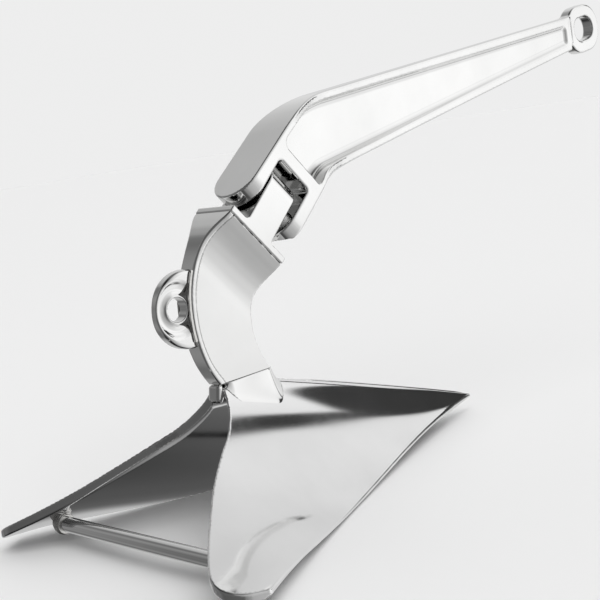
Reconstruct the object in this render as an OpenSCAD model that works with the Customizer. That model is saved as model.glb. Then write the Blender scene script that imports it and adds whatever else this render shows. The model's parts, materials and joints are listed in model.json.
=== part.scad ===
// Hinged plough anchor, polished stainless steel.
// Frame: the toe and the two rear blade corners lie level, +X runs towards the
// toe, +Z is up, Y is across the blades. The origin is the centre of the
// shackle slot at the end of the shank. Millimetres.

/* [Shank] */
// Half width of the two clevis cheeks, across the anchor
cheek_half = 28.5; // [26:0.5:32]
// Thickness of the web between the two flanges
web_t = 10; // [6:1:14]
// Thickness of the wall between the clevis gap and the web panel
end_wall_t = 14.5; // [10:0.5:18]
// Half width of the flanges next to the shackle eye
arm_end_half = 8.5; // [8:0.5:12]
// Half width of the flanges next to the knee
arm_knee_half = 14; // [12:0.5:18]
// Inside corner radius of the clevis gap
gap_corner_r = 5; // [2:1:8]

/* [Shackle eye] */
// Radius of the eye boss
eye_r = 31; // [28:0.5:34]
// Thickness of the eye boss
eye_t = 16; // [12:1:17]
// Radius of the two ends of the shackle slot
slot_r = 15.2; // [13:0.1:17]
// Distance between the centres of the slot's two round ends
slot_pitch = 16; // [8:1:20]

/* [Hinge] */
// Radius of the hinge pin
pin_r = 12; // [10:0.5:13]
// Radial running clearance of the pin in the tongue
pin_clear = 0.06; // [0.02:0.01:0.1]
// Half width of the tongue and the head plate
tongue_half = 26.5; // [24:0.5:28]
// Width of the tongue along the pin
tongue_w = 36.5; // [34:0.5:40]
// Thickness of the head plate under the tongue
head_t = 7.2; // [6:0.2:9]

/* [Horn] */
// Half thickness of the horn at its neck
neck_half = 8.5; // [7:0.5:10]
// Thickness of the back flange
back_t = 6; // [4:0.5:8]
// Half width of the back flange at the neck
back_half = 10.3; // [9:0.1:12]

/* [Trip line eye] */
// Outer radius of the lug
lug_r = 37; // [34:0.5:40]
// Thickness of the lug
lug_t = 14; // [10:1:16]
// Radius of the hole for the trip line
lug_hole_r = 11.5; // [9:0.5:12.5]

/* [Blades] */
// Thickness of the blade plate, square to its surface
blade_t = 8; // [6:0.5:9]
// Half of the width over the two rear corners
half_span = 184; // [180:1:190]
// Length from the rear corners to the toe
toe_x = 514; // [505:1:525]
// Radius of the bar that joins the rear corners
bar_r = 7.5; // [6:0.5:8]

/* [Hidden] */
$fn = 96;
steel = [0.80, 0.80, 0.79];
steel_dark = [0.62, 0.62, 0.62];
weld_c = [0.70, 0.69, 0.67];

eye = [849, 417.6];        // shackle slot centre, before the origin is moved to it
hinge = [229.9, 271.7];    // middle of the hinge on the pin axis
tilt = 41.5;               // slope of the tongue; the pin is square to it
arm_tilt = 8.7;            // slope of the shank arm

// ---- small helpers ----
module place() translate([-eye[0], 0, -eye[1]]) children();
// draws in the hinge frame: x along the tongue, y across, z up the pin
module at_hinge() translate([hinge[0], 0, hinge[1]]) rotate([0, -tilt, 0]) children();
// extrudes a side view outline (X, Z) across Y
module side(h) rotate([90, 0, 0]) linear_extrude(height = h, center = true) children();
// point of the side view given in hinge coordinates: u along the tongue, v down the pin
function L(u, v) = [hinge[0] + u*cos(tilt) + v*sin(tilt), hinge[1] + u*sin(tilt) - v*cos(tilt)];
function unit(a) = a / norm(a);
// smooth table lookup, a cubic through each step
function slope(t, i) = i <= 0 ? (t[1][1]-t[0][1])/(t[1][0]-t[0][0])
  : i >= len(t)-1 ? (t[i][1]-t[i-1][1])/(t[i][0]-t[i-1][0])
  : (t[i+1][1]-t[i-1][1])/(t[i+1][0]-t[i-1][0]);
function seg(t, x, i = 0) = (i >= len(t)-2 || x < t[i+1][0]) ? i : seg(t, x, i+1);
function smooth(t, x) = let (i = seg(t, x), h = t[i+1][0]-t[i][0], s = min(1, max(0, (x-t[i][0])/h)))
  (2*s*s*s-3*s*s+1)*t[i][1] + (s*s*s-2*s*s+s)*h*slope(t, i)
  + (3*s*s-2*s*s*s)*t[i+1][1] + (s*s*s-s*s)*h*slope(t, i+1);
// curve through a list of points, n steps between neighbours
function cr(p, n) = concat([for (i = [0:len(p)-2], k = [0:n-1])
    let (a = p[max(0, i-1)], b = p[i], c = p[i+1], d = p[min(len(p)-1, i+2)], s = k/n)
    0.5*((2*b) + (c-a)*s + (2*a-5*b+4*c-d)*s*s + (3*b-3*c+d-a)*s*s*s)], [p[len(p)-1]]);
// outline with rounded corners: each corner is [x, y, radius]
function corner(a, b, c, n) = let (p = [b[0], b[1]], da = unit([a[0], a[1]]-p), dc = unit([c[0], c[1]]-p),
    half = acos(min(1, max(-1, da*dc)))/2, t = b[2]/tan(half), q = b[2]/sin(half), m = p + unit(da+dc)*q,
    s = p + da*t, e = p + dc*t, a0 = atan2(s[1]-m[1], s[0]-m[0]), a1 = atan2(e[1]-m[1], e[0]-m[0]),
    turn = (a1-a0 > 180) ? a1-a0-360 : (a1-a0 < -180) ? a1-a0+360 : a1-a0)
  b[2] <= 0.01 ? [p] : [for (k = [0:n]) m + b[2]*[cos(a0+turn*k/n), sin(a0+turn*k/n)]];
function rounded(p, n = 8) = [for (i = [0:len(p)-1])
    each corner(p[(i+len(p)-1)%len(p)], p[i], p[(i+1)%len(p)], n)];

// ---- shank ----
function V(p, r) = [p[0], p[1], r];
shank_outline = rounded([
    [174, 288.5, 0], [278, 371.8, 150], [815, 434.2, 0], [815, 391, 0], [300, 292.4, 60],
    V(L(-30, 30.5), 0), V(L(-30, 14.5), 0), V(L(32, 14.5), gap_corner_r), V(L(32, -33), gap_corner_r),
    V(L(-30, -33), 0)], 12);
panel_outline = rounded([
    V(L(32+end_wall_t, -38), 9), [281.2, 364.1, 142], [806, 424.9, 9], [806, 397.2, 9], [299.4, 300.5, 45],
    V(L(32+end_wall_t, 24.5), 4)], 10);
// half width of the shank against distance along a line that rises 25 degrees
width_table = [[-60, 28.5], [40, 28.5], [54, 28.3], [70, 25.7], [86, 22], [105, 17.6], [122, 15.2],
               [150, arm_knee_half], [580, arm_end_half], [640, arm_end_half]];
width_steps = [-60, 40, 47, 54, 62, 70, 78, 86, 95, 105, 113, 122, 135, 150, 300, 440, 580, 640];
width_outline = concat([for (w = width_steps) [w, smooth(width_table, w)*cheek_half/28.5]],
                       [for (i = [len(width_steps)-1:-1:0]) [width_steps[i], -smooth(width_table, width_steps[i])*cheek_half/28.5]]);

module slot_2d(r, pitch) {
  for (s = [-1, 1]) translate([s*pitch/2, 0]) circle(r);
  square([pitch, 2*r], center = true);
}
module shank_casting() color(steel) place() difference() {
  union() {
    intersection() {
      side(2*cheek_half+4) polygon(shank_outline);
      translate([hinge[0], 0, hinge[1]]) rotate([0, -25, 0])
        linear_extrude(height = 700, center = true) polygon(width_outline);
      at_hinge() translate([0, 0, -400]) linear_extrude(height = 800) union() {
        circle(cheek_half);
        translate([0, -cheek_half-5]) square([760, 2*cheek_half+10]);
      }
    }
    translate([eye[0], 0, eye[1]]) rotate([0, -arm_tilt, 0]) side(eye_t) slot_2d(eye_r, slot_pitch);
  }
  for (m = [0, 1]) mirror([0, m, 0]) translate([0, web_t/2+25, 0]) side(50) polygon(panel_outline);
  translate([eye[0], 0, eye[1]]) rotate([0, -arm_tilt, 0]) side(60) slot_2d(slot_r, slot_pitch);
  at_hinge() translate([0, 0, -35]) cylinder(r = pin_r, h = 78);
}

// ---- hinge ----
module hinge_pin() color(steel_dark) place() at_hinge() translate([0, 0, -24]) cylinder(r = pin_r, h = 67);
module pin_end_weld() color(weld_c) place() at_hinge() translate([0, 0, -30.5]) cylinder(r = pin_r, h = 6.5);
module hinge_tongue() color(steel) place() at_hinge() {
  difference() {
    union() {
      // tongue with its round end, struck from the pin centre
      translate([0, 0, -6.5]) linear_extrude(height = tongue_w) intersection() {
        union() { circle(28.5); translate([-41.5, -30]) square([41.5, 60]); }
        translate([-41.5, -tongue_half]) square([80, 2*tongue_half]);
      }
      // head plate
      translate([-41.3-head_t, 0, -30.5]) rotate([0, 90, 0]) linear_extrude(height = head_t)
        polygon(rounded([[0, -tongue_half, 2], [-82, -tongue_half, 4], [-82, tongue_half, 4], [0, tongue_half, 2]], 6));
    }
    translate([0, 0, -60]) cylinder(r = pin_r+pin_clear, h = 120);
  }
}

// ---- horn ----
back_points = [[159.4, 278], [150, 271.5], [141, 264], [132, 254.5], [124, 243], [117, 230], [111.5, 215],
               [108.5, 200], [107.5, 185], [108, 170], [110.5, 155], [115, 140], [121, 127.5], [127, 118]];
front_points = [[213.6, 216.75], [206, 209.8], [198, 203], [190, 196.2], [184, 189], [180.5, 181], [179, 172],
                [178.5, 163], [179.5, 153], [182, 142], [186, 131], [191, 122.5], [195, 118]];
back_out = cr(back_points, 3);
front_out = cr(front_points, 3);
function side_of(c, i) = let (d = unit(c[min(len(c)-1, i+1)] - c[max(0, i-1)])) [-d[1], d[0]];
back_in = [for (i = [0:len(back_out)-1]) i == 0 ? back_out[0] + back_t*[sin(tilt), -cos(tilt)]
           : i == len(back_out)-1 ? [back_out[i][0]+back_t*1.15, back_out[i][1]]
           : back_out[i] + back_t*side_of(back_out, i)];
function rev(a) = [for (i = [len(a)-1:-1:0]) a[i]];
// half width of the horn against distance from the pin, measured down the tongue
web_flare = [[-400, 8.5], [-110, 8.5], [-98, 8.7], [-88, 9.6], [-78, 11.6], [-69, 14.8], [-61, 18.8], [-54, 22.6], [-48.4, 25.2]];
back_flare = [[-400, 10.3], [-112, 10.3], [-100, 10.5], [-90, 11.4], [-80, 13.4], [-70, 17.2], [-61, 21.6], [-54, 25], [-48.4, 26.5]];
function flare(t, k) = concat([for (p = t) [p[0], p[1]*k]], [for (p = rev(t)) [p[0], -p[1]*k]]);
module flared(t, k) intersection() {
  side(70) children();
  at_hinge() linear_extrude(height = 500, center = true) polygon(flare(t, k));
}
module lug_disc(r, h) translate([108, 0, 195.5]) rotate([90, 0, 0]) cylinder(r = r, h = h, center = true);
module horn_web() color(steel) place()
  flared(web_flare, neck_half/8.5) polygon(concat(back_in, rev(front_out)));
module horn_back_flange() color(steel) place()
  flared(back_flare, back_half/10.3) polygon(concat(back_out, rev(back_in)));

// ---- trip line eye: a half disc on the back of the horn ----
lug_back = [for (p = back_out) if (p[1] > 150 && p[1] < 240) p];
module lug_side() polygon(concat([[60, 239], [60, 151]], rev(lug_back)));
module trip_line_lug() color(steel_dark) place() difference() {
  intersection() { lug_disc(lug_r, lug_t); side(lug_t+2) lug_side(); }
  translate([94, 0, 198]) rotate([90, 0, 0]) cylinder(r = lug_hole_r, h = 40, center = true);
}
// fillet welds between the lug's two faces and the back of the horn
weld_leg = 2.2;
lug_root = [for (i = [0:len(back_out)-1]) if (back_out[i][1] > 160 && back_out[i][1] < 231) i];
module lug_weld() color(weld_c) place() intersection() {
  side(2*back_half-1) polygon(concat([for (i = lug_root) back_out[i]], [for (i = rev(lug_root)) back_out[i] - weld_leg*side_of(back_out, i)]));
  for (m = [0, 1]) mirror([0, m, 0]) translate([0, lug_t/2, 0]) cube([400, weld_leg, 400]);
}

// ---- blades ----
// level at which the ridge is cut for the foot of the horn
seat_z = 113;
// depth of the hollow in the face of each blade
belly_k = 312;
// height of the blade's upper surface above the level of the toe, at (x, y)
function ridge_z(d) = 2 + 0.352*d - 0.00007*d*d;
function belly(x) = x <= 0 ? 0 : belly_k*pow(x/toe_x, 1.87)*pow(max(0, 1 - x/toe_x), 2.09);
function ease(t) = let (s = min(1, max(0, t))) s*s*(3 - 2*s);
function free_skin(x, y) = let (d = max(1, toe_x - x), w = min(0.3615, y/d))
  ridge_z(d)*pow(1 - w/0.362, 1.75) - belly(x)*pow(w/0.33, 2);
// the ridge is cut level where the horn stands on it
function skin(x, y) = min(free_skin(x, y), seat_z);
// upright thickness that gives the plate its true thickness
function upright(x, y) = let (e = 0.5, zx = (free_skin(x+e, y)-free_skin(x-e, y))/(2*e), zy = (free_skin(x, y+e)-free_skin(x, max(0, y-e)))/(e+min(e, y)))
  min(blade_t*sqrt(1 + zx*zx + zy*zy), 2.2 + 0.11*(toe_x - x));
// the lower edge is ground thin from below
function edge_thin(x, y) = min(1, (5 - 3*ease(x/80) + 0.27*max(0, low_x(y) - x))/blade_t);
function under(x, y) = min(free_skin(x, y) - upright(x, y)*edge_thin(x, y), seat_z - blade_t);
// rear edge and lower edge of a blade in plan
rear_edge = [[0, 131], [12, 127.5], [24, 117.5], [36, 103], [50, 80.5], [72, 49], [98, 18.5], [115, 0], [129, -14],
             [142, -25.5], [150, -31], [158, -33.4], [166, -31.5], [173, -25.5], [179, -15.5], [184, -1]];
function rear_x(y) = smooth(rear_edge, y*184/half_span);
function low_x(y) = let (s = y*184/half_span) (0.503 - sqrt(max(0, 0.253009 - 0.0011284*(184 - s))))/0.0005642;
blade_rows = 26;
blade_cols = 26;
function row_y(j) = (half_span-0.4)*pow(j/blade_rows, 1.15);
function col_x(i, y) = rear_x(y) + (min(low_x(y), toe_x) - rear_x(y))*i/blade_cols;
module sheet(nx, ny, top, bottom) {
  // closed slab between two grids of points; x runs with i, y with j
  k = (nx+1)*(ny+1);
  function t(i, j) = j*(nx+1)+i;
  function b(i, j) = k + t(i, j);
  polyhedron(points = concat(top, bottom), faces = concat(
    [for (j = [0:ny-1], i = [0:nx-1]) each [[t(i,j), t(i,j+1), t(i+1,j+1)], [t(i,j), t(i+1,j+1), t(i+1,j)]]],
    [for (j = [0:ny-1], i = [0:nx-1]) each [[b(i,j), b(i+1,j+1), b(i,j+1)], [b(i,j), b(i+1,j), b(i+1,j+1)]]],
    [for (i = [0:nx-1]) each [[t(i,0), t(i+1,0), b(i+1,0)], [t(i,0), b(i+1,0), b(i,0)]]],
    [for (i = [0:nx-1]) each [[t(i+1,ny), t(i,ny), b(i,ny)], [t(i+1,ny), b(i,ny), b(i+1,ny)]]],
    [for (j = [0:ny-1]) each [[t(0,j+1), t(0,j), b(0,j)], [t(0,j+1), b(0,j), b(0,j+1)]]],
    [for (j = [0:ny-1]) each [[t(nx,j), t(nx,j+1), b(nx,j+1)], [t(nx,j), b(nx,j+1), b(nx,j)]]]), convexity = 6);
}
module blade() sheet(blade_cols, blade_rows,
  [for (j = [0:blade_rows], i = [0:blade_cols]) let (y = row_y(j), x = col_x(i, y)) [x, y, skin(x, y)]],
  [for (j = [0:blade_rows], i = [0:blade_cols]) let (y = row_y(j), x = col_x(i, y)) [x, y, under(x, y)]]);
module blade_left() color(steel) place() blade();
module blade_right() color(steel) place() mirror([0, 1, 0]) blade();

// bead along the ridge where the two blades meet
module ridge_solid() {
  n = 24;
  xs = [for (i = [0:n]) 224 + (508-224)*i/n];
  ys = [-2.4, -1.2, 0, 1.2, 2.4];
  sheet(n, 4, [for (y = ys, x = xs) [x, y, skin(x, abs(y)) + 0.4 + 0.9*(1-abs(y)/2.4)]],
              [for (y = ys, x = xs) [x, y, skin(x, abs(y))]]);
}
module ridge_weld() color(weld_c) place() ridge_solid();

// built-up weld that carries the horn on the ridge, ground to a smooth fillet
foot_n = 40;
foot_rings = [0, 0.35, 0.55, 0.64, 0.73, 0.82, 0.91, 1];
function foot_xy(a, r) = let (
    c = cos(a), s = sin(a),
    inner = [162.5 + (c > 0 ? 33.5 : 28.5)*sign(c)*pow(abs(c), 0.55), 11.5*sign(s)*pow(abs(s), 0.7)],
    outer = [(c > 0 ? 162.5 + 46*pow(c, 0.9) : 162.5 - 31*pow(-c, 0.6)), 20*sign(s)*pow(abs(s), 0.8)])
  r <= 0.55 ? [162.5 + (inner[0]-162.5)*r/0.55, inner[1]*r/0.55] : inner + (outer-inner)*(r-0.55)/0.45;
function foot_z(p, r) = let (z = skin(p[0], abs(p[1])), s = r <= 0.55 ? 0 : (r-0.55)/0.45)
  z + (118 - z)*pow(1-s, 2) + 0.5*(1-s);
module foot_solid() {
  rings = [for (r = foot_rings) if (r > 0) r];
  m = len(rings);
  base = [for (k = [0:m-1], a = [0:foot_n-1]) let (p = foot_xy(360*a/foot_n, rings[k])) [p[0], p[1], skin(p[0], abs(p[1])) - 0.01]];
  top = [for (k = [0:m-1], a = [0:foot_n-1]) let (p = foot_xy(360*a/foot_n, rings[k]))
     [p[0], p[1], rings[k] <= 0.55 ? 117.9 : min(117.9, max(skin(p[0], abs(p[1]))+0.3, foot_z(p, rings[k])))]];
  c0 = [162.5, 0, skin(162.5, 0) - 0.01];
  c1 = [162.5, 0, 117.9];
  nb = m*foot_n;
  function B(k, a) = k*foot_n + a%foot_n;
  function T(k, a) = nb + k*foot_n + a%foot_n;
  polyhedron(points = concat(base, top, [c0, c1]), faces = concat(
    [for (a = [0:foot_n-1]) [2*nb, B(0, a), B(0, a+1)]],
    [for (a = [0:foot_n-1]) [2*nb+1, T(0, a+1), T(0, a)]],
    [for (k = [0:m-2], a = [0:foot_n-1]) each [[B(k, a), B(k+1, a), B(k+1, a+1)], [B(k, a), B(k+1, a+1), B(k, a+1)]]],
    [for (k = [0:m-2], a = [0:foot_n-1]) each [[T(k, a), T(k+1, a+1), T(k+1, a)], [T(k, a), T(k, a+1), T(k+1, a+1)]]],
    [for (a = [0:foot_n-1]) each [[B(m-1, a), T(m-1, a), T(m-1, a+1)], [B(m-1, a), T(m-1, a+1), B(m-1, a+1)]]]), convexity = 6);
}
module horn_foot_weld() color(weld_c) place() foot_solid();

// solid weight that fills the nose between the blades
module toe_solid() {
  n = 14;
  m = 8;
  xs = [for (i = [0:n]) 360 + 112*i/n];
  function half(x) = 0.62*(1 - x/toe_x)*(184 - 0.145*x);
  function below(x, y) = under(x, abs(y)) - 0.3;
  sheet(n, m, [for (j = [0:m], x = xs) let (y = half(x)*(2*j/m-1)) [x, y, below(x, y)]],
              [for (j = [0:m], x = xs) let (y = half(x)*(2*j/m-1)) [x, y, min(below(x, y), below(x, half(x))) - 1]]);
}
module toe_weight() color(steel_dark) place() toe_solid();

// ---- bar across the rear corners, and its welds ----
bar_x = 13;
bar_z = 4;
bar_half = 118;
module cross_bar() color(steel) place() translate([bar_x, 0, bar_z]) rotate([90, 0, 0]) cylinder(r = bar_r, h = 2*bar_half, center = true);
module cross_bar_welds() color(weld_c) place() for (m = [0, 1]) mirror([0, m, 0])
  translate([bar_x, bar_half, bar_z]) rotate([-90, 0, 0]) rotate_extrude()
    polygon([[0, 0], [bar_r+2, 0], [bar_r+3, 4], [bar_r+1.5, 10], [bar_r-1, 15], [4, 19], [0, 20]]);

// small plate that closes the joint of the blades behind the horn
module heel_gusset() color(weld_c) place() side(16) polygon([[124, 117.5], [131, 117.9], [131, 113], [131, 104.5], [126, 98], [121, 104]]);

shank_casting();
hinge_pin();
pin_end_weld();
hinge_tongue();
horn_web();
horn_back_flange();
horn_foot_weld();
trip_line_lug();
lug_weld();
blade_left();
blade_right();
ridge_weld();
toe_weight();
cross_bar();
cross_bar_welds();
heel_gusset();
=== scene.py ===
import math, json
import bpy
import numpy as np
from mathutils import Matrix, Vector


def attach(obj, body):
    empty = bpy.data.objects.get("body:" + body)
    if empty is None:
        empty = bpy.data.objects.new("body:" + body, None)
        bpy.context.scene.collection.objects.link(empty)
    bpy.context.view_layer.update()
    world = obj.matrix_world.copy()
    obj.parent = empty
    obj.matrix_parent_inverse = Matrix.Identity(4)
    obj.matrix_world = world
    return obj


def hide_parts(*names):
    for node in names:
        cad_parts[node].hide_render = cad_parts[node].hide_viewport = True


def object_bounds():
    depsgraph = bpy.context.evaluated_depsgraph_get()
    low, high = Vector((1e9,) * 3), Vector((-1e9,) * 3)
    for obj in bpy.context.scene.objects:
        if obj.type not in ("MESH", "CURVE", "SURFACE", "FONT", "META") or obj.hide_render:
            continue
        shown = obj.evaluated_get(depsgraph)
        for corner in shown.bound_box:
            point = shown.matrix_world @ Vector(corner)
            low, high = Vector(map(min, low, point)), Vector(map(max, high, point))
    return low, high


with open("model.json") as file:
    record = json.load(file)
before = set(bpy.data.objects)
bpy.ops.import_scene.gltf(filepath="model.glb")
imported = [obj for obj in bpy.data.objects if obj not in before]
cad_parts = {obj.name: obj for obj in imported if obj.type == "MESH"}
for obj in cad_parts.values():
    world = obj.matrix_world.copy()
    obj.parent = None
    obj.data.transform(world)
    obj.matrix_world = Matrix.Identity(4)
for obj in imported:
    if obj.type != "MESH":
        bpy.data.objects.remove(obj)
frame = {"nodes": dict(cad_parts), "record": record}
CAD_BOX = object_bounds()

# Shapes are worked out in millimetres, in the frame where the toe and the rear blade corners
# are level, and moved so that the shackle slot centre is the origin.
EYE = np.array([849.0, 0.0, 417.6])
HX, HZ, TILT = 229.9, 271.7, math.radians(41.5)
CT, ST = math.cos(TILT), math.sin(TILT)
TOE = 514.0


def L(u, v):
    return (HX + u * CT + v * ST, HZ + u * ST - v * CT)


# ---------- outlines ----------
def rounded(pts):
    out = []
    n = len(pts)
    for i in range(n):
        a, b, c = np.array(pts[i - 1][:2]), np.array(pts[i][:2]), np.array(pts[(i + 1) % n][:2])
        r = pts[i][2]
        if r <= 0.01:
            out.append(b)
            continue
        da, dc = (a - b) / np.linalg.norm(a - b), (c - b) / np.linalg.norm(c - b)
        half = math.acos(max(-1, min(1, float(da @ dc)))) / 2
        t, q = r / math.tan(half), r / math.sin(half)
        m = b + (da + dc) / np.linalg.norm(da + dc) * q
        s, e = b + da * t, b + dc * t
        a0, a1 = math.atan2(*(s - m)[::-1]), math.atan2(*(e - m)[::-1])
        turn = (a1 - a0 + math.pi) % (2 * math.pi) - math.pi
        k = max(8, int(abs(turn) / math.radians(1.2)))
        out += [m + r * np.array([math.cos(a0 + turn * j / k), math.sin(a0 + turn * j / k)]) for j in range(k + 1)]
    return np.array(out)


def spline(p, n=10):
    p = np.array(p, float)
    out = []
    for i in range(len(p) - 1):
        a, b, c, d = p[max(0, i - 1)], p[i], p[i + 1], p[min(len(p) - 1, i + 2)]
        for k in range(n):
            s = k / n
            out.append(0.5 * (2 * b + (c - a) * s + (2 * a - 5 * b + 4 * c - d) * s * s + (3 * b - 3 * c + d - a) * s ** 3))
    return np.array(out + [p[-1]])


def table(t, x):
    t = np.array(t, float)
    h = np.diff(t[:, 0])
    m = np.gradient(t[:, 1], t[:, 0])
    i = np.clip(np.searchsorted(t[:, 0], x, side="right") - 1, 0, len(t) - 2)
    s = np.clip((x - t[i, 0]) / h[i], 0, 1)
    return ((2 * s ** 3 - 3 * s * s + 1) * t[i, 1] + (s ** 3 - 2 * s * s + s) * h[i] * m[i]
            + (3 * s * s - 2 * s ** 3) * t[i + 1, 1] + (s ** 3 - s * s) * h[i] * m[i + 1])


class Poly:
    """Signed distance to a closed outline: negative inside."""

    def __init__(self, pts):
        self.a = np.array(pts, float)
        keep = np.linalg.norm(self.a - np.roll(self.a, 1, 0), axis=1) > 1e-6
        self.a = self.a[keep]
        self.b = np.roll(self.a, -1, 0)

    def __call__(self, x, z):
        shape = np.broadcast(x, z).shape
        x = np.broadcast_to(x, shape).ravel()
        z = np.broadcast_to(z, shape).ravel()
        best = np.full(x.shape, 1e18)
        inside = np.zeros(x.shape, bool)
        for (ax, az), (bx, bz) in zip(self.a, self.b):
            ex, ez = bx - ax, bz - az
            px, pz = x - ax, z - az
            t = np.clip((px * ex + pz * ez) / (ex * ex + ez * ez), 0, 1)
            dx, dz = px - t * ex, pz - t * ez
            np.minimum(best, dx * dx + dz * dz, out=best)
            if ez != 0:
                cross = (az > z) != (bz > z)
                inside ^= cross & (x < ex * (z - az) / ez + ax)
        d = np.sqrt(best)
        return np.where(inside, -d, d).reshape(shape)


# ---------- joining shapes ----------
def both(a, b, r):
    """Intersection with its edge rounded by r."""
    return np.minimum(np.maximum(a, b), -r) + np.hypot(np.maximum(a + r, 0), np.maximum(b + r, 0))


def either(a, b, r):
    """Union with its inner corner filled by radius r."""
    return -both(-a, -b, r)


def soft(a, b, k):
    h = np.clip(k - np.abs(a - b), 0, None) / k
    return np.minimum(a, b) - h * h * h * k / 6


# ---------- meshing ----------
def mesh_field(f, lo, hi, step):
    """Closed surface f = 0 as quads, one vertex in each crossed cell, then slid onto the surface."""
    ax = [np.arange(lo[k], hi[k] + step, step) for k in range(3)]
    X, Y, Z = ax[0][:, None, None], ax[1][None, :, None], ax[2][None, None, :]
    nx, ny, nz = map(len, ax)
    V = np.empty((nx, ny, nz))
    for s in range(0, nx, 40):
        V[s:s + 40] = f(X[s:s + 40], Y, Z)
    S = V < 0
    acc = np.zeros((nx - 1, ny - 1, nz - 1, 3))
    cnt = np.zeros((nx - 1, ny - 1, nz - 1))
    for d in range(3):
        for o1 in (0, 1):
            for o2 in (0, 1):
                oth = [k for k in range(3) if k != d]
                sl0, sl1 = [None] * 3, [None] * 3
                sl0[d], sl1[d] = slice(0, -1), slice(1, None)
                for k, o in zip(oth, (o1, o2)):
                    sl0[k] = sl1[k] = slice(o, V.shape[k] - 1 + o)
                a, b = V[tuple(sl0)], V[tuple(sl1)]
                x = S[tuple(sl0)] != S[tuple(sl1)]
                t = np.where(x, a / np.where(a == b, 1, a - b), 0)
                cnt += x
                acc[..., d] += t
                acc[..., oth[0]] += o1 * x
                acc[..., oth[1]] += o2 * x
    act = cnt > 0
    idx = -np.ones(act.shape, int)
    idx[act] = np.arange(act.sum())
    c = np.argwhere(act)
    P = np.stack([ax[k][c[:, k]] for k in range(3)], 1) + step * acc[act] / cnt[act][:, None]
    quads = []
    for d in range(3):
        e, g = (d + 1) % 3, (d + 2) % 3
        sl0, sl1 = [slice(None)] * 3, [slice(None)] * 3
        sl0[d], sl1[d] = slice(0, -1), slice(1, None)
        i = np.argwhere(S[tuple(sl0)] != S[tuple(sl1)])
        i = i[(i[:, e] > 0) & (i[:, g] > 0) & (i[:, e] < V.shape[e] - 1) & (i[:, g] < V.shape[g] - 1)]
        flip = S[tuple(sl0)][tuple(i.T)]
        q = []
        for de, dg in ((-1, -1), (0, -1), (0, 0), (-1, 0)):
            j = i.copy()
            j[:, e] += de
            j[:, g] += dg
            q.append(idx[tuple(j.T)])
        q = np.stack(q, 1)
        q[~flip] = q[~flip][:, ::-1]
        quads.append(q)
    Q = np.concatenate(quads)
    h = 0.05

    def grad(p):
        return np.stack([(f(*(p + h * np.eye(3)[k]).T) - f(*(p - h * np.eye(3)[k]).T)) / (2 * h) for k in range(3)], 1)

    for _ in range(3):
        g = grad(P)
        v = f(*P.T)
        m = v[:, None] * g / np.maximum(1e-3, (g * g).sum(1))[:, None]
        ln = np.linalg.norm(m, axis=1, keepdims=True)
        P = P - m * np.minimum(1, 0.6 * step / np.maximum(ln, 1e-9))
    N = grad(P)
    N /= np.maximum(1e-9, np.linalg.norm(N, axis=1, keepdims=True))
    return P, Q, N


def add(name, P, Q, N, body, slot, nodes, mat):
    me = bpy.data.meshes.new(name)
    me.from_pydata(((P - EYE) / 1000).tolist(), [], Q.tolist())
    me.validate()
    me.polygons.foreach_set("use_smooth", [True] * len(me.polygons))
    if N is not None:
        me.normals_split_custom_set_from_vertices(N.tolist())
    me.materials.append(mat)
    ob = bpy.data.objects.new(name, me)
    bpy.context.scene.collection.objects.link(ob)
    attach(ob, body)
    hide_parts(*nodes)
    return ob


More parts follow.
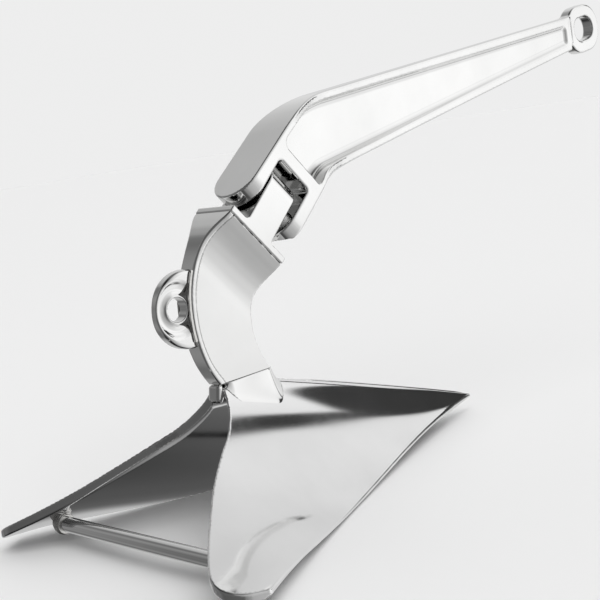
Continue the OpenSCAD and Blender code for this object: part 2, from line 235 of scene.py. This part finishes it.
# ---------- materials ----------
def steel(name, tint, rough, scratch, wave, heat=0.0):
    m = bpy.data.materials.new(name)
    m.use_nodes = True
    nt = m.node_tree
    nd, lk = nt.nodes, nt.links
    p = nd["Principled BSDF"]
    p.inputs["Metallic"].default_value = 1.0
    tc = nd.new("ShaderNodeTexCoord")
    # broad haze left by buffing
    haze = nd.new("ShaderNodeTexNoise")
    haze.inputs["Scale"].default_value = 14
    haze.inputs["Detail"].default_value = 5
    lk.new(tc.outputs["Object"], haze.inputs["Vector"])
    # hairline polishing marks, drawn out along the anchor
    mp = nd.new("ShaderNodeMapping")
    mp.inputs["Scale"].default_value = (35, 900, 900)
    mp.inputs["Rotation"].default_value = (0, math.radians(-10), math.radians(4))
    lk.new(tc.outputs["Object"], mp.inputs["Vector"])
    hair = nd.new("ShaderNodeTexNoise")
    hair.inputs["Scale"].default_value = 1
    hair.inputs["Detail"].default_value = 3
    lk.new(mp.outputs["Vector"], hair.inputs["Vector"])
    rr = nd.new("ShaderNodeMapRange")
    rr.inputs["From Min"].default_value, rr.inputs["From Max"].default_value = 0.3, 0.75
    rr.inputs["To Min"].default_value, rr.inputs["To Max"].default_value = rough * 0.75, rough * 1.7
    lk.new(haze.outputs["Fac"], rr.inputs["Value"])
    ad = nd.new("ShaderNodeMath")
    ad.operation = "MULTIPLY_ADD"
    lk.new(hair.outputs["Fac"], ad.inputs[0])
    ad.inputs[1].default_value = scratch
    lk.new(rr.outputs["Result"], ad.inputs[2])
    lk.new(ad.outputs["Value"], p.inputs["Roughness"])
    cr = nd.new("ShaderNodeValToRGB")
    lo = tuple(c * (0.93 - 0.12 * heat) for c in tint)
    cr.color_ramp.elements[0].position, cr.color_ramp.elements[0].color = 0.3, (*lo, 1)
    cr.color_ramp.elements[1].position, cr.color_ramp.elements[1].color = 0.7, (*tint, 1)
    lk.new(haze.outputs["Fac"], cr.inputs["Fac"])
    lk.new(cr.outputs["Color"], p.inputs["Base Color"])
    # slow waviness of a hand-polished surface, with the marks on top of it
    slow = nd.new("ShaderNodeTexNoise")
    slow.inputs["Scale"].default_value = wave[0]
    slow.inputs["Detail"].default_value = 1.5
    lk.new(tc.outputs["Object"], slow.inputs["Vector"])
    b1 = nd.new("ShaderNodeBump")
    b1.inputs["Strength"].default_value = 1.0
    b1.inputs["Distance"].default_value = wave[1]
    lk.new(slow.outputs["Fac"], b1.inputs["Height"])
    b2 = nd.new("ShaderNodeBump")
    b2.inputs["Strength"].default_value = 0.25
    b2.inputs["Distance"].default_value = 0.000006
    lk.new(hair.outputs["Fac"], b2.inputs["Height"])
    lk.new(b1.outputs["Normal"], b2.inputs["Normal"])
    lk.new(b2.outputs["Normal"], p.inputs["Normal"])
    return m


POLISH = steel("polished_steel", (0.90, 0.90, 0.895), 0.035, 0.02, (14, 0.00006))
SHEET = steel("polished_sheet", (0.89, 0.89, 0.89), 0.045, 0.025, (7, 0.00010))
PIN = steel("machined_pin", (0.72, 0.72, 0.72), 0.16, 0.10, (60, 0.00004))
WELD = steel("dressed_weld", (0.82, 0.81, 0.79), 0.11, 0.06, (150, 0.0004), heat=1.0)
mats = {"polished_steel": POLISH, "brushed_pin_steel": PIN, "dressed_weld": WELD}

# ---------- shank ----------
outline = Poly(rounded([(174, 288.5, 0), (278, 371.8, 150), (815, 434.2, 0), (815, 391, 0), (300, 292.4, 60),
                        (*L(-30, 30.5), 0), (*L(-30, 14.5), 0), (*L(32, 14.5), 5), (*L(32, -33), 5), (*L(-30, -33), 0)]))
panel = Poly(rounded([(*L(46.5, -38), 9), (281.2, 364.1, 142), (806, 424.9, 9), (806, 397.2, 9), (299.4, 300.5, 45), (*L(46.5, 24.5), 4)]))
WT = [[-60, 28.5], [40, 28.5], [54, 28.3], [70, 25.7], [86, 22], [105, 17.6], [122, 15.2], [150, 14], [580, 8.5], [640, 8.5]]


def hinge_uvs(x, z):
    dx, dz = x - HX, z - HZ
    return dx * CT + dz * ST, -dx * ST + dz * CT   # along the tongue, up the pin


def stadium(x, z, r, pitch=16, tilt=math.radians(8.7)):
    dx, dz = x - EYE[0], z - EYE[2]
    a, b = dx * math.cos(tilt) + dz * math.sin(tilt), -dx * math.sin(tilt) + dz * math.cos(tilt)
    return np.hypot(np.maximum(np.abs(a) - pitch / 2, 0), b) - r


def shank_f(x, y, z):
    o, pn = outline(x, z), panel(x, z)
    t = (x - HX) * math.cos(math.radians(25)) + (z - HZ) * math.sin(math.radians(25))
    w = np.abs(y) - table(WT, t)
    u, s = hinge_uvs(x, z)
    ends = np.hypot(np.minimum(u, 0), y) - 28.5
    d = both(o, w, 2.2)
    d = both(d, ends, 1.6)
    pocket = both(pn, 5 - np.abs(y), 8.5)
    d = both(d, -pocket, 1.4)
    boss = both(stadium(x, z, 30.9), np.abs(y) - 8, 2.6)
    d = soft(d, boss, 7)
    d = both(d, -stadium(x, z, 15.2), 2.4)
    rho = np.hypot(u, y) - 12
    return np.maximum(d, -np.maximum(rho, np.maximum(s - 43, -35 - s)))


add("shank_casting_polished", *mesh_field(shank_f, (172, -30.5, 238), (891, 30.5, 452), 1.5), "shank", "polished_steel", ["shank_casting"], POLISH)


# ---------- hinge tongue ----------
def block(u, s, u0, u1, s0, s1, r):
    return both(np.abs(u - (u0 + u1) / 2) - (u1 - u0) / 2, np.abs(s - (s0 + s1) / 2) - (s1 - s0) / 2, r)


def tongue_f(x, y, z):
    u, s = hinge_uvs(x, z)
    tee = either(block(u, s, -60, 28.4, -6.5, 30, 5.0), block(u, s, -48.5, -41.3, -30.5, 51.5, 1.6), 4.0)
    d = both(np.maximum(tee, -48.5 - u), np.abs(y) - 26.5, 1.3)
    d = both(d, np.hypot(np.maximum(u, 0), y) - 28.5, 1.6)
    return np.maximum(d, 12.06 - np.hypot(u, y))


add("hinge_tongue_polished", *mesh_field(tongue_f, (140, -28, 208), (262, 28, 322), 1.1), "plough", "polished_steel", ["hinge_tongue"], POLISH)

# ---------- horn ----------
BACK = spline([[159.4, 278], [150, 271.5], [141, 264], [132, 254.5], [124, 243], [117, 230], [111.5, 215], [108.5, 200],
               [107.5, 185], [108, 170], [110.5, 155], [115, 140], [121, 127.5], [127, 118]])
FRONT = spline([[213.6, 216.75], [206, 209.8], [198, 203], [190, 196.2], [184, 189], [180.5, 181], [179, 172], [178.5, 163],
                [179.5, 153], [182, 142], [186, 131], [191, 122.5], [195, 118]])
tg = np.gradient(BACK, axis=0)
tg /= np.linalg.norm(tg, axis=1, keepdims=True)
INNER = BACK + 6 * np.stack([-tg[:, 1], tg[:, 0]], 1)
INNER[0] = BACK[0] + 6 * np.array([ST, -CT])
INNER[-1] = BACK[-1] + [6.9, 0]
web_p, back_p = Poly(np.vstack([INNER, FRONT[::-1]])), Poly(np.vstack([BACK, INNER[::-1]]))
WF = [[-400, 8.5], [-110, 8.5], [-98, 8.7], [-88, 9.6], [-78, 11.6], [-69, 14.8], [-61, 18.8], [-54, 22.6], [-48.4, 25.2], [-40, 27]]
BF = [[-400, 10.3], [-112, 10.3], [-100, 10.5], [-90, 11.4], [-80, 13.4], [-70, 17.2], [-61, 21.6], [-54, 25], [-48.4, 26.5], [-40, 27]]


def horn_f(p, t, r):
    def f(x, y, z):
        u, _ = hinge_uvs(x, z)
        w = (np.abs(y) - table(t, u)) * 0.82
        return both(p(x, z), w, r)
    return f


add("horn_web_polished", *mesh_field(horn_f(web_p, WF, 0.9), (100, -30, 112), (222, 30, 284), 1.3), "plough", "polished_steel", ["horn_web"], POLISH)
add("horn_back_flange_polished", *mesh_field(horn_f(back_p, BF, 1.8), (100, -30, 112), (170, 30, 284), 1.1), "plough", "polished_steel", ["horn_back_flange"], POLISH)

# ---------- trip line lug, dished round its hole ----------
lug_edge = Poly(np.vstack([[[60, 239], [60, 151]], BACK[(BACK[:, 1] > 150) & (BACK[:, 1] < 240)][::-1]]))


def lug_f(x, y, z):
    disc = np.hypot(x - 108, z - 195.5) - 37
    rho = np.hypot(x - 94, z - 198)
    d = both(np.maximum(disc, lug_edge(x, z)), np.abs(y) - 7, 4.2)
    dish = np.hypot((rho - 19.0) * 0.9, np.abs(y) - 11.4) - 7.6
    d = both(d, -dish, 1.6)
    return both(d, 11.5 - rho, 1.6)


add("trip_line_lug_polished", *mesh_field(lug_f, (68, -9, 154), (125, 9, 237), 0.9), "plough", "polished_steel", ["trip_line_lug"], POLISH)

# ---------- blades ----------
REAR = [[0, 131], [12, 127.5], [24, 117.5], [36, 103], [50, 80.5], [72, 49], [98, 18.5], [115, 0], [129, -14], [142, -25.5],
        [150, -31], [158, -33.4], [166, -31.5], [173, -25.5], [179, -15.5], [184, -1]]


def low_x(y):
    return (0.503 - np.sqrt(np.maximum(0, 0.253009 - 0.0011284 * (184 - y)))) / 0.0005642


yy = np.linspace(0, 183.6, 260)
PLAN = Poly(np.vstack([np.stack([table(REAR, yy) + 0.1, yy], 1)[::1], np.stack([np.minimum(low_x(yy[::-1]), TOE), yy[::-1]], 1),
                       [[TOE, -8], [131, -8]]]))


def ease(t):
    t = np.clip(t, 0, 1)
    return t * t * (3 - 2 * t)


def skin(x, y):
    y = np.sqrt(y * y + 9.0) - 3.0 * np.exp(-(y / 12.0) ** 2)     # the ridge is ground round
    d = np.maximum(1, TOE - x)
    w = np.minimum(0.3615, y / d)
    r = 2 + 0.352 * d - 0.00007 * d * d
    q = np.clip(x / TOE, 0, 1)
    z = r * (1 - w / 0.362) ** 1.75 - 312 * q ** 1.87 * (1 - q) ** 2.09 * (w / 0.33) ** 2
    k = np.clip(4 - np.abs(z - 113), 0, None) / 4
    return np.minimum(z, 113) - k ** 3 * 4 / 6


def skin_gap(x, y, z):
    """Distance above the blades' upper surface, square to it."""
    e = 0.5
    zx = (skin(x + e, y) - skin(x - e, y)) / (2 * e)
    zy = (skin(x, y + e) - skin(x, y - e)) / (2 * e)
    return (z - skin(x, y)) / np.sqrt(1 + zx * zx + zy * zy)


def blade_f(x, y, z):
    g = skin_gap(x, y, z)
    th = np.minimum(np.minimum(8, 2.2 + 0.11 * (TOE - x)), 5 - 3 * ease(x / 80) + 0.27 * np.maximum(0, low_x(np.minimum(np.abs(y), 184)) - x)) - 0.15
    p = PLAN(x, y)
    plate = np.abs(g + th / 2) - th / 2
    d = both(plate, p, np.minimum(2.0, th * 0.45))
    return np.maximum(d, -y)


P, Q, N = mesh_field(blade_f, (-37, -2, -26), (517, 186, 118), 1.7)
P[:, 1] = np.maximum(P[:, 1], 0)
add("blade_left_polished", P, Q, None if N is None else N, "plough", "polished_steel", ["blade_left"], SHEET)
add("blade_right_polished", P * [1, -1, 1], Q[:, ::-1], N * [1, -1, 1], "plough", "polished_steel", ["blade_right"], SHEET)

# ---------- foot of the horn, ground tangent to the blades ----------
def foot_top(x, y):
    ax, ay = np.maximum(np.maximum(142 - x, x - 187), 0), np.abs(y)
    rho = np.maximum(0, np.hypot(ax * np.where(x > 160, 0.75, 1.0), np.maximum(ay - 1.5, 0)) - 7.2)
    k = np.clip(1 - rho / 9.0, 0, 1)
    s0 = skin(x, y)
    return s0 - 0.35 + (119.5 - s0) * k * k * (0.6 + 0.4 * k)


def foot_f(x, y, z):
    e = 0.5
    h = foot_top(x, y)
    hx = (foot_top(x + e, y) - foot_top(x - e, y)) / (2 * e)
    hy = (foot_top(x, y + e) - foot_top(x, y - e)) / (2 * e)
    d = (z - h) / np.sqrt(1 + hx * hx + hy * hy)
    d = both(d, z - 117.9, 0.8)
    d = np.maximum(d, -(skin_gap(x, y, z) + 2.2))
    return np.maximum(d, np.maximum(131 - x, np.hypot((x - 168) / 1.9, y) - 21))


add("horn_foot_weld_ground", *mesh_field(foot_f, (128, -39, 60), (228, 39, 120), 1.0), "plough", "dressed_weld", ["horn_foot_weld"], POLISH)


# ---------- ridge bead, tapered out at both ends ----------
def ridge_f(x, y, z):
    q = np.clip(np.minimum((x - 224) / 30, (508 - x) / 30), 0, 1)
    q = q * q * (3 - 2 * q)
    g = skin_gap(x, np.full_like(y * 1.0, 0.0) + y, z)
    return np.maximum(np.hypot(y, g + 1.6) - (1.0 + 1.35 * q), np.maximum(224 - x, x - 508))


add("ridge_weld_ground", *mesh_field(ridge_f, (222, -3.5, -3), (510, 3.5, 104), 0.9), "plough", "dressed_weld", ["ridge_weld"], POLISH)


# ---------- lug and bar welds, heel plate ----------
def bar_weld_f(x, y, z):
    rad = np.hypot(x - 13, z - 4)
    t = np.abs(y) - 118
    prof = table([[-3, 9.3], [0, 9.6], [4, 10.4], [10, 8.9], [15, 6.4], [19, 3.2], [22, 1.0]], t)
    ring = 0.35 * np.cos(2 * math.pi * t / 2.6 + 0.6 * np.sin(3 * np.arctan2(z - 4, x - 13)))
    return both(rad - prof - ring, np.maximum(-t, t - 20), 1.0) * 0.85


P, Q, N = mesh_field(bar_weld_f, (0, 116, -9), (26, 140, 17), 0.8)
k = len(P)
P = np.vstack([P, P * [1, -1, 1]])
N = np.vstack([N, N * [1, -1, 1]])
Q = np.vstack([Q, Q[:, ::-1] + k])
add("cross_bar_welds_beads", P, Q, N, "plough", "dressed_weld", ["cross_bar_welds"], WELD)


def heel_f(x, y, z):
    p = HEEL(x, z)
    return both(p, np.abs(y) - 8, 4.0)


HEEL = Poly(rounded([(124, 117.5, 3.5), (131, 117.9, 1), (131, 104.5, 1), (126, 98, 3.5), (121, 104, 5)]))
add("heel_gusset_ground", *mesh_field(heel_f, (118, -10, 95), (134, 10, 120), 0.7), "plough", "dressed_weld", ["heel_gusset"], POLISH)


# ---------- nodes whose CAD shape is shown as it is ----------
slots = {s["node"]: s["material_slot"] for s in frame["record"]["subparts"]}
for n, o in frame["nodes"].items():
    if not o.hide_render:
        o.data.materials.clear()
        o.data.materials.append({"toe_weight": PIN, "cross_bar": POLISH, "ridge_weld": POLISH}.get(n, mats[slots[n]]))

# ---------- studio ----------
floor_z = CAD_BOX[0][2] if not isinstance(CAD_BOX, dict) else CAD_BOX["min"][2]
fm = bpy.data.meshes.new("floor")
fm.from_pydata([(-40, -40, 0), (40, -40, 0), (40, 40, 0), (-40, 40, 0)], [], [(0, 1, 2, 3)])
floor = bpy.data.objects.new("floor", fm)
floor.location = (0, 0, floor_z - 0.0004)
m = bpy.data.materials.new("floor")
m.use_nodes = True
m.node_tree.nodes["Principled BSDF"].inputs["Base Color"].default_value = (0.86, 0.86, 0.86, 1)
m.node_tree.nodes["Principled BSDF"].inputs["Roughness"].default_value = 0.8
fm.materials.append(m)
bpy.context.scene.collection.objects.link(floor)
floor.visible_glossy = False

# A studio seen only in reflections: how bright each direction is, by bearing and by height.
BEARING = [(-180, .10), (-140, .11), (-118, .12), (-106, .30), (-92, .46), (-80, .52), (-70, .62), (-60, .77), (-50, .96),
           (-40, .98), (-28, .93), (-12, .80), (0, .74), (12, .70), (30, .68), (44, .68), (60, .58), (72, .53), (84, .48),
           (93, .36), (101, .18), (108, .16), (120, .25), (132, .14), (150, .16), (180, .10)]
HEIGHT = [(-90, .12), (-76, .2), (-62, .5), (-52, .74), (-38, .84), (-24, .88), (-14, .84), (-7, .92), (-2, 1), (2, 1),
          (8, .90), (16, .97), (24, .96), (30, .94), (37, .89), (46, .86), (56, .6), (68, .17), (90, .12)]
w = bpy.data.worlds.new("studio")
w.use_nodes = True
nt = w.node_tree
nd, lk = nt.nodes, nt.links
nd.clear()


def math_node(op, a, b=None, c=None):
    n = nd.new("ShaderNodeMath")
    n.operation = op
    for i, v in enumerate((a, b, c)):
        if v is None:
            continue
        if isinstance(v, (int, float)):
            n.inputs[i].default_value = v
        else:
            lk.new(v, n.inputs[i])
    return n.outputs[0]


def ramp(fac, stops, lo, hi):
    n = nd.new("ShaderNodeValToRGB")
    n.color_ramp.interpolation = "EASE"
    e = n.color_ramp.elements
    for i, (p, v) in enumerate(stops):
        k = e[i] if i in (0,) else e.new((p - lo) / (hi - lo))
        if i == 0:
            k.position = 0.0
        k.color = (v, v, v, 1)
    for k in list(e):
        if k.position > 0.999 and abs(k.color[0] - stops[-1][1]) > 1e-6:
            e.remove(k)
    lk.new(fac, n.inputs[0])
    return n.outputs[0]


def step(v, a, b):
    n = nd.new("ShaderNodeMapRange")
    n.interpolation_type = "SMOOTHSTEP"
    n.inputs["From Min"].default_value, n.inputs["From Max"].default_value = a, b
    lk.new(v, n.inputs["Value"])
    return n.outputs[0]


tc = nd.new("ShaderNodeTexCoord")
sx = nd.new("ShaderNodeSeparateXYZ")
lk.new(tc.outputs["Generated"], sx.inputs[0])
az = math_node("MULTIPLY", math_node("ARCTAN2", sx.outputs[1], sx.outputs[0]), 57.29578)
el = math_node("MULTIPLY", math_node("ARCSINE", sx.outputs[2]), 57.29578)
tone = math_node("MULTIPLY", ramp(math_node("MULTIPLY_ADD", az, 1 / 360, 0.5), BEARING, -180, 180),
                 ramp(math_node("MULTIPLY_ADD", el, 1 / 180, 0.5), HEIGHT, -90, 90))
# one dark flag beside the white softbox
narrow = math_node("MULTIPLY", step(az, -17.5, -16.7), math_node("MULTIPLY", step(az, -14.0, -15.0), step(el, 33, 31)))
wide = math_node("MULTIPLY", math_node("MULTIPLY", step(az, -30, -27), step(az, -1, -6)),
                 math_node("MULTIPLY", step(el, 7, 10), step(math_node("ADD", el, math_node("MULTIPLY", step(az, -13.5, -15.5), -2.2)), 20.4, 19.2)))
flag = math_node("MAXIMUM", narrow, wide)
# and the dark ground right under the anchor
under = math_node("MULTIPLY", step(el, -42, -55), step(az, -62, -35))
tone = math_node("MULTIPLY", tone, math_node("SUBTRACT", 1.0, math_node("MULTIPLY", under, 0.76)))
tone = math_node("MULTIPLY", tone, math_node("SUBTRACT", 1.0, math_node("MULTIPLY", flag, 0.955)))
bg = nd.new("ShaderNodeBackground")
lk.new(tone, bg.inputs["Color"])
bg.inputs["Strength"].default_value = 1.12
plain_bg = nd.new("ShaderNodeBackground")
plain_bg.inputs["Color"].default_value = (0.852, 0.852, 0.852, 1)
lp = nd.new("ShaderNodeLightPath")
mx = nd.new("ShaderNodeMixShader")
lk.new(lp.outputs["Is Camera Ray"], mx.inputs[0])
lk.new(bg.outputs[0], mx.inputs[1])
lk.new(plain_bg.outputs[0], mx.inputs[2])
wo = nd.new("ShaderNodeOutputWorld")
lk.new(mx.outputs[0], wo.inputs[0])
bpy.context.scene.world = w


def lamp(name, direction, angle, power):
    d = bpy.data.lights.new(name, "SUN")
    d.energy, d.angle = power, math.radians(angle)
    o = bpy.data.objects.new(name, d)
    o.rotation_euler = Vector(direction).to_track_quat("-Z", "Y").to_euler()
    o.visible_glossy = False
    bpy.context.scene.collection.objects.link(o)


lamp("key", (0.35, 0.55, -1.0), 70, 1.62)
lamp("fill", (-0.5, -0.4, -1.0), 90, 0.95)

# ---------- camera ----------
cd = bpy.data.cameras.new("camera")
cd.sensor_width, cd.lens = 36.0, 67.32
cam = bpy.data.objects.new("camera", cd)
right, down, fwd = Vector((0.696, -0.7014, -0.1541)), Vector((-0.2113, 0.0051, -0.9774)), Vector((0.6863, 0.7128, -0.1447))
fwd.normalize()
right = (right - fwd * right.dot(fwd)).normalized()
up = fwd.cross(-right).normalized()
if up.dot(-down) < 0:
    up = -up
R = Matrix((right, up, -fwd)).transposed().to_4x4()
cam.matrix_world = Matrix.Translation((-1.3773, -0.8133, -0.0800)) @ R
bpy.context.scene.collection.objects.link(cam)
bpy.context.scene.camera = cam
bpy.context.scene.view_settings.view_transform = "Standard"

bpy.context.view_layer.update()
